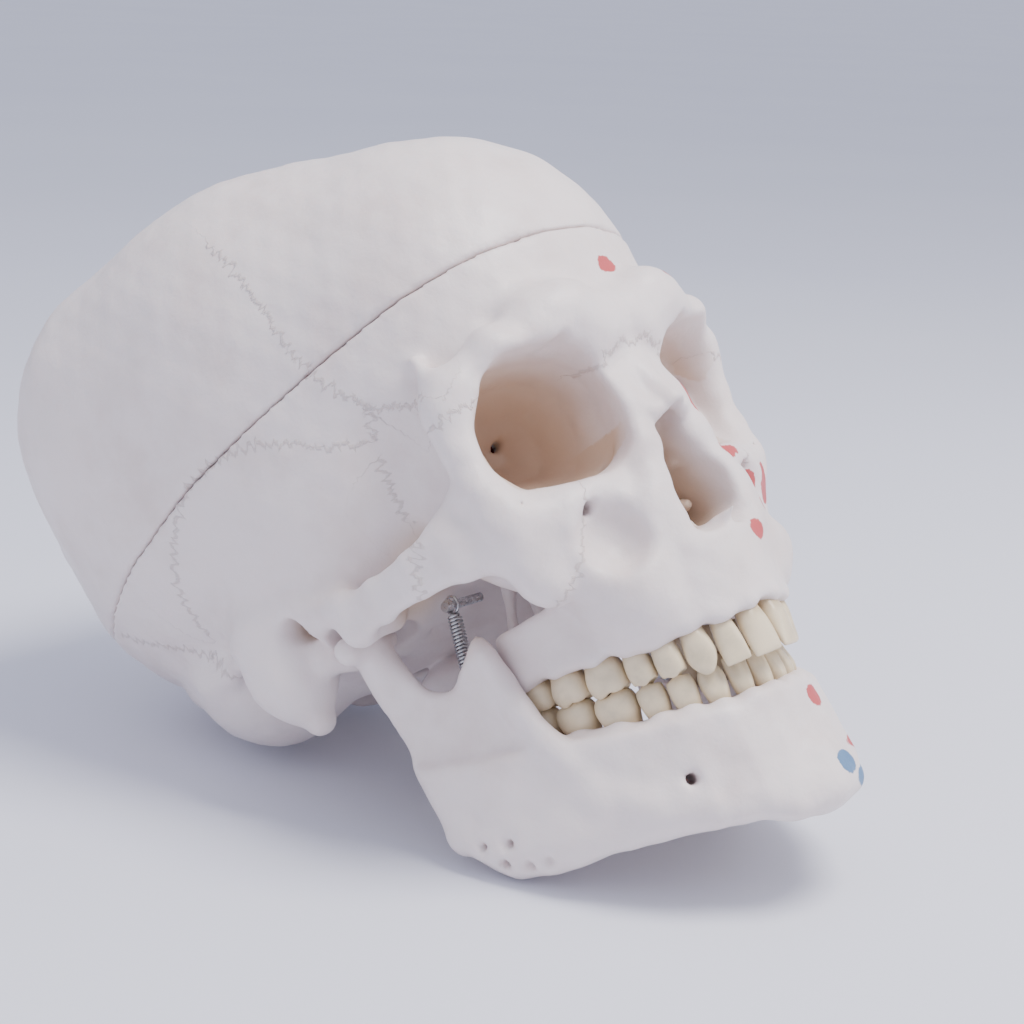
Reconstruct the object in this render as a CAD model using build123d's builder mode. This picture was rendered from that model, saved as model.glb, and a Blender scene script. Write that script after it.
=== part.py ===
from build123d import *

import math
import os

# Life-size anatomical teaching skull: a hollow skull base with its face, a lift-off cap, a sprung lower jaw
# and separate teeth. Everything is modelled with the skull upright on its Frankfort plane: x is the skull's
# left, -y its face, +z its crown, and the origin lies midway between the ear canals. stand() then tips each
# piece back to how the skull rests on a table, on the two angles of the jaw and the two bulges of the occiput,
# with the part's origin on the table. All lengths are millimetres, all angles degrees.

# How the skull lies
TIP_BACK = 35.7
TABLE_DROP = 53.3  # origin to table, square to the table
TABLE_SHIFT = -2.4  # brings the origin to the middle of the footprint, front to back

# Braincase: a body of revolution about a front-to-back line
WALL = 5.0
VAULT_AXIS_Z = 50.0
VAULT_FRONT_Y = -93.0
VAULT_BACK_Y = 102.0
VAULT_OUTLINE = [(-76, 44), (-58, 55), (-34, 65), (-6, 72.5), (22, 76), (50, 72.5), (76, 58), (92, 39)]
FRONT_FLOOR_Y, FRONT_FLOOR_Z = -42.0, 37.0  # the hollow is shallower over the eye sockets
OCCIPUT_BULGE = (28.0, 50.0, 2.0)

# Saw cut between base and cap
CUT_FRONT = (-92.0, 63.0)
CUT_BACK = (88.0, 28.5)
CUT_GAP = 0.3
PIN_R = 1.2
PIN_CLEARANCE = 0.3
PIN_IN_BASE = 7.0
PIN_IN_CAP = 5.0

# Face
ORBIT = (28.0, -84.0, 16.0)
ORBIT_WIDTH, ORBIT_HEIGHT, ORBIT_DEPTH = 38.0, 33.0, 38.0
ORBIT_LEAD = 16.0  # how far in front of the rim the cut starts
ORBIT_TURN = 20.0  # the socket's axis runs inwards, towards the back
NASAL_TOP_Z, NASAL_BOTTOM_Z, NASAL_HALF_WIDTH = 8.0, -21.0, 11.5
SEPTUM_THICKNESS = 1.8
SEPTUM_FRONT_Y = -92.0
CHOANA_HEIGHT = 7.0
ARCH_OUTER_X = 61.0
ARCH_THICKNESS = 5.0
ARCH_BOTTOM_Z, ARCH_TOP_Z = -10.0, 1.0
FORAMEN_MAGNUM_Y, FORAMEN_MAGNUM_WIDTH, FORAMEN_MAGNUM_LENGTH = 14.0, 30.0, 36.0
FORAMEN_MAGNUM_BOTTOM_Z, FORAMEN_MAGNUM_TOP_Z = -50.0, -8.0
EAR_CANAL = (60.0, 0.0, -1.0)
EAR_CANAL_R = 4.0
EAR_CANAL_DEPTH = 13.0
PALATE_HEIGHT = 15.0
PALATE_INSET = 8.0

# Jaw
HINGE_Y, HINGE_Z = -11.0, -11.0
JAW_HEAD_R = 5.0
JAW_HEAD_INNER_X, JAW_HEAD_OUTER_X = 40.0, 57.0
FOSSA_CLEARANCE = 0.8
FOSSA_INNER_X, FOSSA_OUTER_X = 37.0, 64.0

# Teeth. The roots stand on two gum planes, each a height at the front and a rise towards the back
UPPER_GUM = (-96.0, -45.5, 0.113)
LOWER_GUM = (-88.0, -64.3, 0.25)
BITE = (-96.0, -56.5, 0.2)
BITE_GAP = 0.4
OVERBITE = 1.2  # the lower front teeth stand this much above the upper ones' edges, behind them
UPPER_ARCH = (-92.2, 31.0, 56.0)  # front, half width and depth of the quarter ellipse the teeth follow
LOWER_ARCH = (-86.3, 30.0, 50.5)
TOOTH_GAP = 0.3
SOCKET_GAP = 0.12
ROOT_TAPER = 0.45
ROOT_SHARE = 0.37  # half a root's width at the gum, as a share of its crown's width
EDGE_THICKNESS = 2.4
CROWN_LENGTH = 16.0  # before the bite plane trims it
TOOTH_KINDS = ["central_incisor", "lateral_incisor", "canine", "first_premolar", "second_premolar",
               "first_molar", "second_molar", "third_molar"]
FRONT_KINDS = 3
# width along the arch, thickness across it, root length
UPPER_SIZES = [(8.4, 6.6, 12), (6.7, 6.0, 12), (7.6, 7.6, 14), (7.0, 8.6, 11), (6.8, 8.8, 11),
               (10.2, 10.6, 10), (9.6, 10.6, 9), (8.8, 9.8, 8)]
LOWER_SIZES = [(5.4, 5.4, 10), (5.9, 5.7, 11), (6.9, 6.8, 12), (7.0, 7.4, 11), (7.2, 7.8, 11),
               (10.8, 9.6, 10), (10.4, 9.6, 9), (9.8, 9.0, 8)]

# Jaw springs and their screws
SPRING_TOP = (33.5, -30.0, -11.0)
SPRING_FOOT = (37.6, -25.0, -45.0)
EYE_R = 2.2
EYE_TO_COIL = 2.5
SPRING_R = 2.0
WIRE_R = 0.45
SCREW_R = 1.2
SCREW_HEAD_R = 1.9
SCREW_HEAD_HEIGHT = 1.6
UPPER_SCREW_LENGTH = 12.0
LOWER_SCREW_LENGTH = 8.0
SCREW_STAND_OFF = 1.2  # from the middle of the spring's eye to the underside of the screw's head

BIG = 400.0
SIDES = {"right": -1, "left": 1}


def sloping_plane(front_y, front_z, rise):
    """A plane that rises towards the back, its origin on the midline."""
    normal = Vector(0, -rise, 1).normalized()
    return Plane(origin=(0, 0, front_z - rise * front_y), x_dir=(1, 0, 0), z_dir=normal)


CUT_RISE = (CUT_BACK[1] - CUT_FRONT[1]) / (CUT_BACK[0] - CUT_FRONT[0])
CUT_PLANE = sloping_plane(CUT_FRONT[0], CUT_FRONT[1], CUT_RISE)
BITE_PLANE = sloping_plane(*BITE)
UPPER_GUM_PLANE = sloping_plane(*UPPER_GUM)
LOWER_GUM_PLANE = sloping_plane(*LOWER_GUM)


def stand(piece, label):
    """Tips a finished piece back onto the table, names it and writes it."""
    piece = piece.rotate(Axis.X, -TIP_BACK).translate((0, TABLE_SHIFT, TABLE_DROP))
    piece.label = label
    export_step(piece, f"parts/{label}.step")


def egg(inset):
    """The braincase as a solid, drawn in by inset."""
    with BuildPart() as shell:
        with BuildSketch(Plane(origin=(0, 0, VAULT_AXIS_Z), x_dir=(0, 1, 0), z_dir=(1, 0, 0))):
            with BuildLine():
                front = (VAULT_FRONT_Y + inset, 0)
                back = (VAULT_BACK_Y - inset, 0)
                sides = [(y - math.copysign(inset / 2, y), r - inset) for y, r in VAULT_OUTLINE]
                Spline(front, *sides, back, tangents=[(0, 1), (0, -1)], tangent_scalars=[1, 1])
                Line(back, front)
            make_face()
        revolve(axis=Axis((0, 0, VAULT_AXIS_Z), (0, 1, 0)))
    return shell.part


def brain_space():
    """The hollow of the braincase, with its raised floor over the eye sockets."""
    inner = egg(WALL)
    with BuildPart() as hollow:
        add(inner)
        with BuildSketch(Plane.XY.offset(FRONT_FLOOR_Z)):
            with Locations((0, FRONT_FLOOR_Y)):
                Rectangle(BIG, BIG, align=(Align.CENTER, Align.MAX))
        extrude(amount=-BIG, mode=Mode.SUBTRACT)
    return hollow.part


def mirrored_outline(half):
    """Closed outline from its left half, which runs from the front midline to the back."""
    with BuildLine() as outline:
        right = [(-x, y) for x, y in reversed(half[1:])]
        Spline(*right, *half)
        Line(half[-1], right[0])
    return outline.line


def face_block():
    """Upper jaw, cheeks and brow as one solid, before the eye sockets and nose are cut."""
    levels = {
        -49.0: [(0, -96.6), (16, -93), (28, -80), (35, -64), (36.5, -50), (33, -41)],
        -36.0: [(0, -96.8), (17, -93), (31, -80), (38, -67), (38, -55), (32, -42)],
        -24.0: [(0, -96.5), (18, -92), (34, -80), (43, -69), (42, -60), (31, -44)],
        -3.0: [(0, -94), (18, -90), (36, -81), (50, -69), (51, -62), (34, -44)],
        16.0: [(0, -90), (20, -88), (40, -80), (50.5, -71), (50, -64), (36, -44)],
        34.0: [(0, -93.5), (20, -93), (40, -85), (50, -74), (49, -66), (38, -44)],
        46.0: [(0, -94), (20, -92), (37, -84), (46, -74), (47, -64), (38, -44)],
    }
    outlines = {height: mirrored_outline(half) for height, half in levels.items()}
    with BuildPart() as block:
        for height, outline in outlines.items():
            with BuildSketch(Plane.XY.offset(height)):
                add(outline)
                make_face()
        loft()
        split(bisect_by=UPPER_GUM_PLANE, keep=Keep.TOP)
    return block.part


def base_flare():
    """The wide lower part of the braincase, from temple to ear canal, and the mastoid processes."""
    with BuildPart() as flare:
        for height, half_width, half_length in ((34, 66, 52), (0, 58, 34), (-14, 49, 27)):
            with BuildSketch(Plane.XY.offset(height)):
                with Locations((0, 4)):
                    Ellipse(half_width, half_length)
        loft()
        for side in SIDES.values():
            with BuildSketch(Plane.XY.offset(0)) as root:
                with Locations((side * 51, 14)):
                    Ellipse(11, 15)
            with BuildSketch(Plane.XY.offset(-16)) as middle:
                with Locations((side * 52, 14)):
                    Ellipse(8, 11)
            with BuildSketch(Plane.XY.offset(-26)) as tip:
                with Locations((side * 51, 13)):
                    Ellipse(4, 6)
            loft(sections=[root.sketch, middle.sketch, tip.sketch])
    return flare.part


def cheek_arches():
    """The two zygomatic arches, curved strips from cheek to temple."""
    middle_x = ARCH_OUTER_X - ARCH_THICKNESS / 2
    with BuildPart() as arches:
        with BuildSketch(Plane.XY.offset(ARCH_BOTTOM_Z)):
            with BuildLine(mode=Mode.PRIVATE) as path:
                ThreePointArc((46, -66), (middle_x, -36), (52, -5))
            SlotArc(path.line.edge(), ARCH_THICKNESS)
            mirror(about=Plane.YZ)
        extrude(amount=ARCH_TOP_Z - ARCH_BOTTOM_Z)
        fillet(arches.edges().filter_by(GeomType.LINE, reverse=True).group_by(Axis.Z)[-1], 1.2)
    return arches.part


def skull_underside():
    """Pterygoid plates, occipital condyles and the two bulges that the skull rests on."""
    tip = math.radians(TIP_BACK)
    reach = math.sin(tip) * OCCIPUT_BULGE[1] - math.cos(tip) * OCCIPUT_BULGE[2]
    with BuildPart() as underside:
        for side in SIDES.values():
            with Locations((side * OCCIPUT_BULGE[0], OCCIPUT_BULGE[1], OCCIPUT_BULGE[2])):
                Sphere(TABLE_DROP - reach)
            with BuildSketch(Plane.XY.offset(-36)):
                with Locations((side * 14, -39)):
                    RectangleRounded(5, 14, 2)
            extrude(amount=42)
            with Locations((side * 16, -2, -20)):
                Sphere(7)
    return underside.part


def nasal_bones():
    """The bridge of the nose, a wedge that leans forward over the nasal opening."""
    with BuildPart() as bridge:
        with BuildSketch(Plane.XY.offset(NASAL_TOP_Z)) as foot:
            Polygon((-9, -86), (-4, -99), (4, -99), (9, -86), align=None)
        with BuildSketch(Plane.XY.offset(30)) as head:
            Polygon((-8, -84), (-5, -89.5), (5, -89.5), (8, -84), align=None)
        loft(sections=[foot.sketch, head.sketch])
    return bridge.part


def eye_sockets():
    """Two tapering pits whose axes meet towards the back."""
    turn = math.radians(ORBIT_TURN)
    with BuildPart() as sockets:
        for side in SIDES.values():
            inward = Vector(-side * math.sin(turn), math.cos(turn), 0)
            mouth = Vector(side * ORBIT[0], ORBIT[1], ORBIT[2]) - inward * ORBIT_LEAD
            sections = []
            for depth, scale in ((0, 1.12), (20, 1.0), (36, 0.8), (ORBIT_LEAD + ORBIT_DEPTH, 0.25)):
                level = Plane(origin=mouth + inward * depth, x_dir=(0, 0, 1), z_dir=inward)
                with BuildSketch(level, mode=Mode.PRIVATE) as outline:
                    Ellipse(ORBIT_HEIGHT / 2 * scale, ORBIT_WIDTH / 2 * scale)
                sections.append(outline.sketch)
            loft(sections=sections)
    return sockets.part


def nasal_cavity():
    """The pear-shaped nasal opening, through to the back of the palate, on both sides of the septum."""
    with BuildPart() as cavity:
        with BuildSketch(Plane.XZ.offset(110)):
            with BuildLine():
                wide = (NASAL_HALF_WIDTH, NASAL_BOTTOM_Z + 8)
                low = (NASAL_HALF_WIDTH * 0.6, NASAL_BOTTOM_Z)
                Spline((0, NASAL_TOP_Z), wide, low, tangents=[(1, -0.6), (-1, 0)])
                Line(low, (0, NASAL_BOTTOM_Z))
                Line((0, NASAL_BOTTOM_Z), (0, NASAL_TOP_Z))
            make_face()
            mirror(about=Plane.YZ)
        extrude(amount=-63)
        with BuildSketch(Plane.XY.offset(NASAL_BOTTOM_Z)):
            with Locations((0, -60)):
                Rectangle(NASAL_HALF_WIDTH * 1.2, 30, align=(Align.CENTER, Align.MIN))
        extrude(amount=CHOANA_HEIGHT)
        with BuildSketch(Plane.XY.offset(-30)):
            with Locations((0, SEPTUM_FRONT_Y)):
                Rectangle(SEPTUM_THICKNESS, 80, align=(Align.CENTER, Align.MIN))
        extrude(amount=60, mode=Mode.SUBTRACT)
    return cavity.part


def tooth_plane(arch, gum_plane, widths, number, side):
    """Where a tooth stands: its origin on the gum plane, x along the arch, z square to the gum plane."""
    front_y, half_width, depth = arch
    along = sum(widths[:number]) + widths[number] / 2 + number * TOOTH_GAP + TOOTH_GAP / 2
    curve = EllipticalCenterArc((0, front_y + depth), half_width, depth, 270, arc_size=90)
    spot = curve.position_at(along, position_mode=PositionMode.LENGTH)
    heading = curve.tangent_at(along, position_mode=PositionMode.LENGTH)
    rise = -gum_plane.z_dir.Y / gum_plane.z_dir.Z
    origin = Vector(side * spot.X, spot.Y, gum_plane.origin.Z + rise * spot.Y)
    flat_heading = Vector(side * heading.X, heading.Y, rise * heading.Y)
    return Plane(origin=origin, x_dir=flat_heading, z_dir=gum_plane.z_dir)


def root_solid(plane, width, thickness, length, clearance):
    """A tapering root, or with a clearance its socket, hanging below the plane it is given."""
    with BuildPart() as root:
        with BuildSketch(plane):
            Ellipse(width * ROOT_SHARE + clearance, thickness * ROOT_SHARE + clearance)
        with BuildSketch(plane.offset(-length - clearance)):
            tip = ROOT_SHARE * ROOT_TAPER
            Ellipse(width * tip + clearance, thickness * tip + clearance)
        loft()
    return root.part


def rounded_oblong(width, thickness):
    """An oblong whose corners are nearly as round as it allows."""
    RectangleRounded(width, thickness, 0.42 * min(width, thickness))


def crown_solid(plane, width, thickness, number, outward, bite_plane, bite_side):
    """A crown from the plane it is given to the bite plane; outward moves its edge along the plane's y."""
    height = CROWN_LENGTH
    is_front = number < FRONT_KINDS
    edge = EDGE_THICKNESS if is_front else thickness * 0.9
    shift = outward * (thickness - edge) / 2
    with BuildPart() as crown:
        with BuildSketch(plane):
            rounded_oblong(width * 0.84, thickness * 0.84)
        with BuildSketch(plane.offset(height * 0.3)):
            with Locations((0, shift * 0.3)):
                rounded_oblong(width, thickness * 0.9)
        with BuildSketch(plane.offset(height * 0.62)):
            with Locations((0, shift)):
                rounded_oblong(width * 0.96, edge)
        with BuildSketch(plane.offset(height)):
            with Locations((0, shift)):
                rounded_oblong(width * 0.9, edge)
        loft(ruled=True)
        split(bisect_by=bite_plane, keep=bite_side)
    return crown.part


def make_teeth(jaw):
    """Each tooth of one jaw as a part by name, and its socket."""
    upper = jaw == "upper"
    sizes = UPPER_SIZES if upper else LOWER_SIZES
    arch = UPPER_ARCH if upper else LOWER_ARCH
    gum_plane = UPPER_GUM_PLANE if upper else LOWER_GUM_PLANE
    widths = [size[0] for size in sizes]
    teeth = {}
    sockets = []
    for side_name, side in SIDES.items():
        for number, kind in enumerate(TOOTH_KINDS):
            width, thickness, root_length = sizes[number]
            plane = tooth_plane(arch, gum_plane, widths, number, side)
            if upper:
                plane = Plane(origin=plane.origin, x_dir=plane.x_dir, z_dir=-plane.z_dir)
            outward = side if upper else 0
            bite_plane = BITE_PLANE
            if not upper:
                bite_plane = BITE_PLANE.offset(OVERBITE if number < FRONT_KINDS else -BITE_GAP)
            bite_side = Keep.TOP if upper else Keep.BOTTOM
            root = root_solid(plane, width, thickness, root_length, 0)
            crown = crown_solid(plane, width, thickness, number, outward, bite_plane, bite_side)
            with BuildPart() as tooth:
                add(root)
                add(crown)
            teeth[f"{jaw}_{side_name}_{kind}"] = tooth.part
            sockets.append(root_solid(plane, width, thickness, root_length, SOCKET_GAP))
    return teeth, sockets


def jaw_bone():
    """The bare lower jaw: a horseshoe body with two upright rami and their rounded heads."""
    with BuildPart() as jaw:
        with BuildSketch(Plane.XY.offset(-100)):
            with BuildLine():
                outer = [(0, -91), (14, -87.5), (27, -75), (36.5, -60), (42, -46), (49.5, -8)]
                inner = [(42, -8), (33, -32), (25, -46), (19, -62), (10, -76), (0, -79.5)]
                Spline(*outer)
                Line(outer[-1], inner[0])
                Spline(*inner)
                Line(inner[-1], outer[0])
            make_face()
            mirror(about=Plane.YZ)
        extrude(amount=60)
        with BuildSketch(Plane.YZ):
            with BuildLine():
                lower_border = [(-12, -66), (-20, -79.9), (-42, -84), (-62, -89), (-78, -94)]
                chin = [(-87.5, -87), (-86.5, -76), (-90, -64)]
                Spline(*lower_border, *chin)
                Polyline(chin[-1], (-91.5, -40), (-12, -40), lower_border[0])
            make_face()
        extrude(amount=BIG, both=True, mode=Mode.INTERSECT)
        split(bisect_by=LOWER_GUM_PLANE, keep=Keep.BOTTOM)
    return jaw.part


def jaw_branches():
    """The two rami, with coronoid processes, and the heads on the hinge line."""
    with BuildPart() as branches:
        with BuildSketch(Plane.XY.offset(-90)):
            Polygon((35.8, -48), (42, -48), (50.5, -2), (44, -2), align=None)
        extrude(amount=84)
        with BuildSketch(Plane.YZ):
            with BuildLine():
                rear = [(-9.5, -11), (-9, -19), (-8, -28), (-8.5, -45), (-11.5, -64), (-20, -79.9)]
                front = [(-47, -84.3), (-47, -56), (-44, -40), (-41, -24)]
                notch = [(-41, -24), (-38, -22.5), (-33, -27), (-24, -31), (-17.5, -25), (-15, -11)]
                Spline(*rear)
                Line(rear[-1], front[0])
                Polyline(*front[:2])
                Spline(*front[1:])
                Spline(*notch)
                Line(notch[-1], rear[0])
            make_face()
        extrude(amount=BIG, mode=Mode.INTERSECT)
        with BuildSketch(Plane.YZ.offset(JAW_HEAD_INNER_X)):
            with Locations((HINGE_Y, HINGE_Z)):
                Circle(JAW_HEAD_R)
        extrude(amount=JAW_HEAD_OUTER_X - JAW_HEAD_INNER_X)
        mirror(about=Plane.YZ)
    return branches.part


def on_rim(points, direction):
    """The point of the rim that lies furthest in a direction."""
    return max(points, key=lambda point: point.dot(Vector(*direction)))


def pin_spots():
    """Three points in the middle of the wall, on the saw cut: brow, and left and right of the occiput."""
    wall_middle = egg(WALL / 2)
    rim = section(obj=wall_middle, section_by=CUT_PLANE).faces()[0].outer_wire()
    points = [rim @ (step / 360) for step in range(360)]
    return [on_rim(points, (0, -1, 0)), on_rim(points, (-0.7, 1, 0)), on_rim(points, (0.7, 1, 0))]


def pins_at(spots, radius, below, above):
    """Round pegs square to the saw cut, from below it to above it."""
    with BuildPart() as pegs:
        for spot in spots:
            start = spot - CUT_PLANE.z_dir * below
            with BuildSketch(Plane(origin=start, x_dir=(1, 0, 0), z_dir=CUT_PLANE.z_dir)):
                Circle(radius)
            extrude(amount=below + above)
    return pegs.part


def screws_at(spot, inward, length):
    """A pair of round-headed screws along x, left and right; inward is which way the left one points."""
    x, y, z = spot
    with BuildPart() as screws:
        for side in SIDES.values():
            axis = Vector(side * inward, 0, 0)
            seat = Vector(side * x, y, z) - axis * SCREW_STAND_OFF
            with BuildSketch(Plane(origin=seat, x_dir=(0, 1, 0), z_dir=axis)):
                Circle(SCREW_R)
            extrude(amount=length)
            with BuildSketch(Plane(origin=seat, x_dir=(0, 1, 0), z_dir=-axis)):
                Circle(SCREW_HEAD_R)
            extrude(amount=SCREW_HEAD_HEIGHT, taper=20)
    return screws.part


def jaw_spring(side):
    """A close-wound tension spring as a rod of its outer size, with an eye at each end."""
    top = Vector(side * SPRING_TOP[0], SPRING_TOP[1], SPRING_TOP[2])
    foot = Vector(side * SPRING_FOOT[0], SPRING_FOOT[1], SPRING_FOOT[2])
    upwards = (top - foot).normalized()
    with BuildPart() as spring:
        with BuildSketch(Plane(origin=foot + upwards * EYE_TO_COIL, x_dir=(0, 1, 0), z_dir=upwards)):
            Circle(SPRING_R)
        extrude(amount=(top - foot).length - 2 * EYE_TO_COIL)
        with Locations(Plane(origin=top, x_dir=(0, 1, 0), z_dir=(1, 0, 0))):
            Torus(EYE_R, WIRE_R)
        with Locations(Plane(origin=foot, x_dir=(0, 1, 0), z_dir=(1, 0, 0))):
            Torus(EYE_R, WIRE_R)
    return spring.part


os.makedirs("parts", exist_ok=True)

outer_egg = egg(0)
hollow = brain_space()
spots = pin_spots()
pins = pins_at(spots, PIN_R, PIN_IN_BASE, PIN_IN_CAP)
pin_holes_in_cap = pins_at(spots, PIN_R + PIN_CLEARANCE, 1, PIN_IN_CAP + PIN_CLEARANCE)
upper_screws = screws_at(SPRING_TOP, -1, UPPER_SCREW_LENGTH)
lower_screws = screws_at(SPRING_FOOT, 1, LOWER_SCREW_LENGTH)
upper_teeth, upper_sockets = make_teeth("upper")
lower_teeth, lower_sockets = make_teeth("lower")

base_additions = [base_flare(), face_block(), cheek_arches(), skull_underside(), nasal_bones()]
base_hollows = [hollow, eye_sockets(), nasal_cavity(), pins, upper_screws]

with BuildPart() as cranial_base:
    add(outer_egg)
    for addition in base_additions:
        add(addition)
    split(bisect_by=CUT_PLANE, keep=Keep.BOTTOM)
    for space in base_hollows:
        add(space, mode=Mode.SUBTRACT)
    with BuildSketch(Plane.XY.offset(FORAMEN_MAGNUM_BOTTOM_Z)):
        with Locations((0, FORAMEN_MAGNUM_Y)):
            Ellipse(FORAMEN_MAGNUM_WIDTH / 2, FORAMEN_MAGNUM_LENGTH / 2)
    extrude(amount=FORAMEN_MAGNUM_TOP_Z - FORAMEN_MAGNUM_BOTTOM_Z, mode=Mode.SUBTRACT)
    for side in SIDES.values():
        ear = (side * EAR_CANAL[0], EAR_CANAL[1], EAR_CANAL[2])
        with BuildSketch(Plane(origin=ear, z_dir=(-side, 0, 0))):
            Circle(EAR_CANAL_R)
        extrude(amount=EAR_CANAL_DEPTH, mode=Mode.SUBTRACT)
        with BuildSketch(Plane(origin=(side * FOSSA_OUTER_X, HINGE_Y, HINGE_Z), z_dir=(-side, 0, 0))):
            Circle(JAW_HEAD_R + FOSSA_CLEARANCE)
        extrude(amount=FOSSA_OUTER_X - FOSSA_INNER_X, mode=Mode.SUBTRACT)
    with BuildSketch(UPPER_GUM_PLANE.offset(-5)):
        with Locations((0, UPPER_ARCH[0] + UPPER_ARCH[2])):
            Ellipse(UPPER_ARCH[1] - PALATE_INSET, UPPER_ARCH[2] - PALATE_INSET)
    extrude(amount=PALATE_HEIGHT + 5, taper=12, mode=Mode.SUBTRACT)
    for socket in upper_sockets:
        add(socket, mode=Mode.SUBTRACT)
stand(cranial_base.part, "cranial_base")

with BuildPart() as calvaria:
    add(outer_egg)
    split(bisect_by=CUT_PLANE.offset(CUT_GAP), keep=Keep.TOP)
    add(hollow, mode=Mode.SUBTRACT)
    add(pin_holes_in_cap, mode=Mode.SUBTRACT)
stand(calvaria.part, "calvaria")

jaw_pieces = [jaw_bone(), jaw_branches()]
with BuildPart() as mandible:
    for piece in jaw_pieces:
        add(piece)
    for socket in lower_sockets:
        add(socket, mode=Mode.SUBTRACT)
    add(lower_screws, mode=Mode.SUBTRACT)
stand(mandible.part, "mandible")

for name, tooth in {**upper_teeth, **lower_teeth}.items():
    stand(tooth, name)

stand(pins, "cap_locating_pins")
stand(upper_screws, "spring_anchor_screws_upper")
stand(lower_screws, "spring_anchor_screws_lower")
for side_name, side in SIDES.items():
    stand(jaw_spring(side), f"{side_name}_jaw_spring")
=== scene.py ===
"""Looks of the teaching skull: sculpted bone, teeth, jaw springs, painted muscle areas, camera and light.

The bones are sampled distance fields in millimetres, on the skull's own Frankfort frame: x runs to its left,
-y to its face and +z to its crown, and the origin lies between the ear canals. One half is built, mirrored
and meshed, and to_table() tips it into the part's frame.
"""

import math

import bmesh
import bpy
import numpy as np
import openvdb
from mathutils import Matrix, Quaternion, Vector


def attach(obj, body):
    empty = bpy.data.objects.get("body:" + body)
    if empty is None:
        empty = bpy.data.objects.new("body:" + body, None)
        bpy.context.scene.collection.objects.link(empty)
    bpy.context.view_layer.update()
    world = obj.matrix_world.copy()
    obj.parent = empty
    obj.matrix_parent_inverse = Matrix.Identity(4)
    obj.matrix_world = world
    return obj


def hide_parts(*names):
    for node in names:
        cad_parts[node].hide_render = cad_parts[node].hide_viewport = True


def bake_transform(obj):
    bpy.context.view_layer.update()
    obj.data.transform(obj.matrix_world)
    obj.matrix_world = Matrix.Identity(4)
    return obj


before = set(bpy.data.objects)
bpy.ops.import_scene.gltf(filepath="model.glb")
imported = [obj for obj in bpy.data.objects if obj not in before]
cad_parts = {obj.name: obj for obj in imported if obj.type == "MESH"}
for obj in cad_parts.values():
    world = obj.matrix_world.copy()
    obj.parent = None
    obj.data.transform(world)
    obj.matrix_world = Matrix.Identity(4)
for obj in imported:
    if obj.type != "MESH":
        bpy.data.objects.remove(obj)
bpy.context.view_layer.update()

# The part's frame
TIP_BACK = math.radians(35.7)
TABLE_SHIFT = -2.4
TABLE_DROP = 53.3
MM = 0.001

# Distance fields: grid step, value far outside, and depth of the band that is meshed
CELL = 0.95
FAR = 30.0
BAND = 3 * CELL

# Landmarks
CUT_FRONT = (-92.0, 63.0)
CUT_BACK = (88.0, 28.5)
CUT_RISE = (CUT_BACK[1] - CUT_FRONT[1]) / (CUT_BACK[0] - CUT_FRONT[0])
CUT_GAP = 0.35
HINGE = (-11.0, -11.0)
WALL = 5.5
# gum and bite planes are (y, height there, rise towards the back)
UPPER_GUM = (-96.0, -45.5, 0.113)
LOWER_GUM = (-88.0, -64.3, 0.25)
BITE = (-96.0, -56.5, 0.2)
# arches are quarter ellipses (front y, half width, depth)
UPPER_ARCH = (-92.2, 31.0, 56.0)
LOWER_ARCH = (-86.3, 30.0, 50.5)
TOOTH_GAP = 0.3
FRONT_TEETH = 3
CANINE = 2
TOOTH_KINDS = ["central_incisor", "lateral_incisor", "canine", "first_premolar", "second_premolar",
               "first_molar", "second_molar", "third_molar"]
# width along the arch, thickness across it
UPPER_SIZES = [(8.4, 6.6), (6.7, 6.0), (7.6, 7.6), (7.0, 8.6),
               (6.8, 8.8), (10.2, 10.6), (9.6, 10.6), (8.8, 9.8)]
LOWER_SIZES = [(5.4, 5.4), (5.9, 5.7), (6.9, 6.8), (7.0, 7.4),
               (7.2, 7.8), (10.8, 9.6), (10.4, 9.6), (9.8, 9.0)]


# ---- frames

def to_table(points):
    """Frankfort millimetres to the part's frame, in metres."""
    points = np.asarray(points, dtype=float)
    c, s = math.cos(TIP_BACK), math.sin(TIP_BACK)
    x, y, z = points[..., 0], points[..., 1], points[..., 2]
    return np.stack([x, y * c + z * s + TABLE_SHIFT, -y * s + z * c + TABLE_DROP], -1) * MM


# ---- distance fields

class Field:
    """One half of a symmetric solid as a sampled distance field; x runs outwards from the midline."""

    def __init__(self, low, high):
        self.low = np.array([0.0, low[1], low[2]])
        counts = [int(math.ceil((high[a] - self.low[a]) / CELL)) + 1 for a in range(3)]
        self.axes = [self.low[a] + np.arange(counts[a]) * CELL for a in range(3)]
        self.d = np.full(counts, FAR, dtype=np.float32)

    def block(self, low, high):
        """Index slices and open coordinate grids of the part of the field inside a box."""
        slices = []
        for a in range(3):
            first = int(np.searchsorted(self.axes[a], low[a]))
            last = int(np.searchsorted(self.axes[a], high[a]))
            slices.append(slice(max(first - 1, 0), last + 1))
        grids = np.ix_(*[self.axes[a][slices[a]] for a in range(3)])
        return tuple(slices), [g.astype(np.float32) for g in grids]

    def apply(self, shape, low, high, how, soft):
        """Joins (how 1) or cuts (how -1) a shape, a function of x, y, z, within a box."""
        reach = soft + 2 * CELL
        index, (x, y, z) = self.block([v - reach for v in low], [v + reach for v in high])
        new = shape(x, y, z)
        old = self.d[index]
        if how > 0:
            self.d[index] = soft_min(old, new, soft)
        else:
            self.d[index] = -soft_min(-old, new, soft)


def soft_min(a, b, k):
    h = np.clip(0.5 + 0.5 * (b - a) / k, 0, 1)
    return b + (a - b) * h - k * h * (1 - h)


def soft_max(a, b, k):
    return -soft_min(-a, -b, k)


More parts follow.
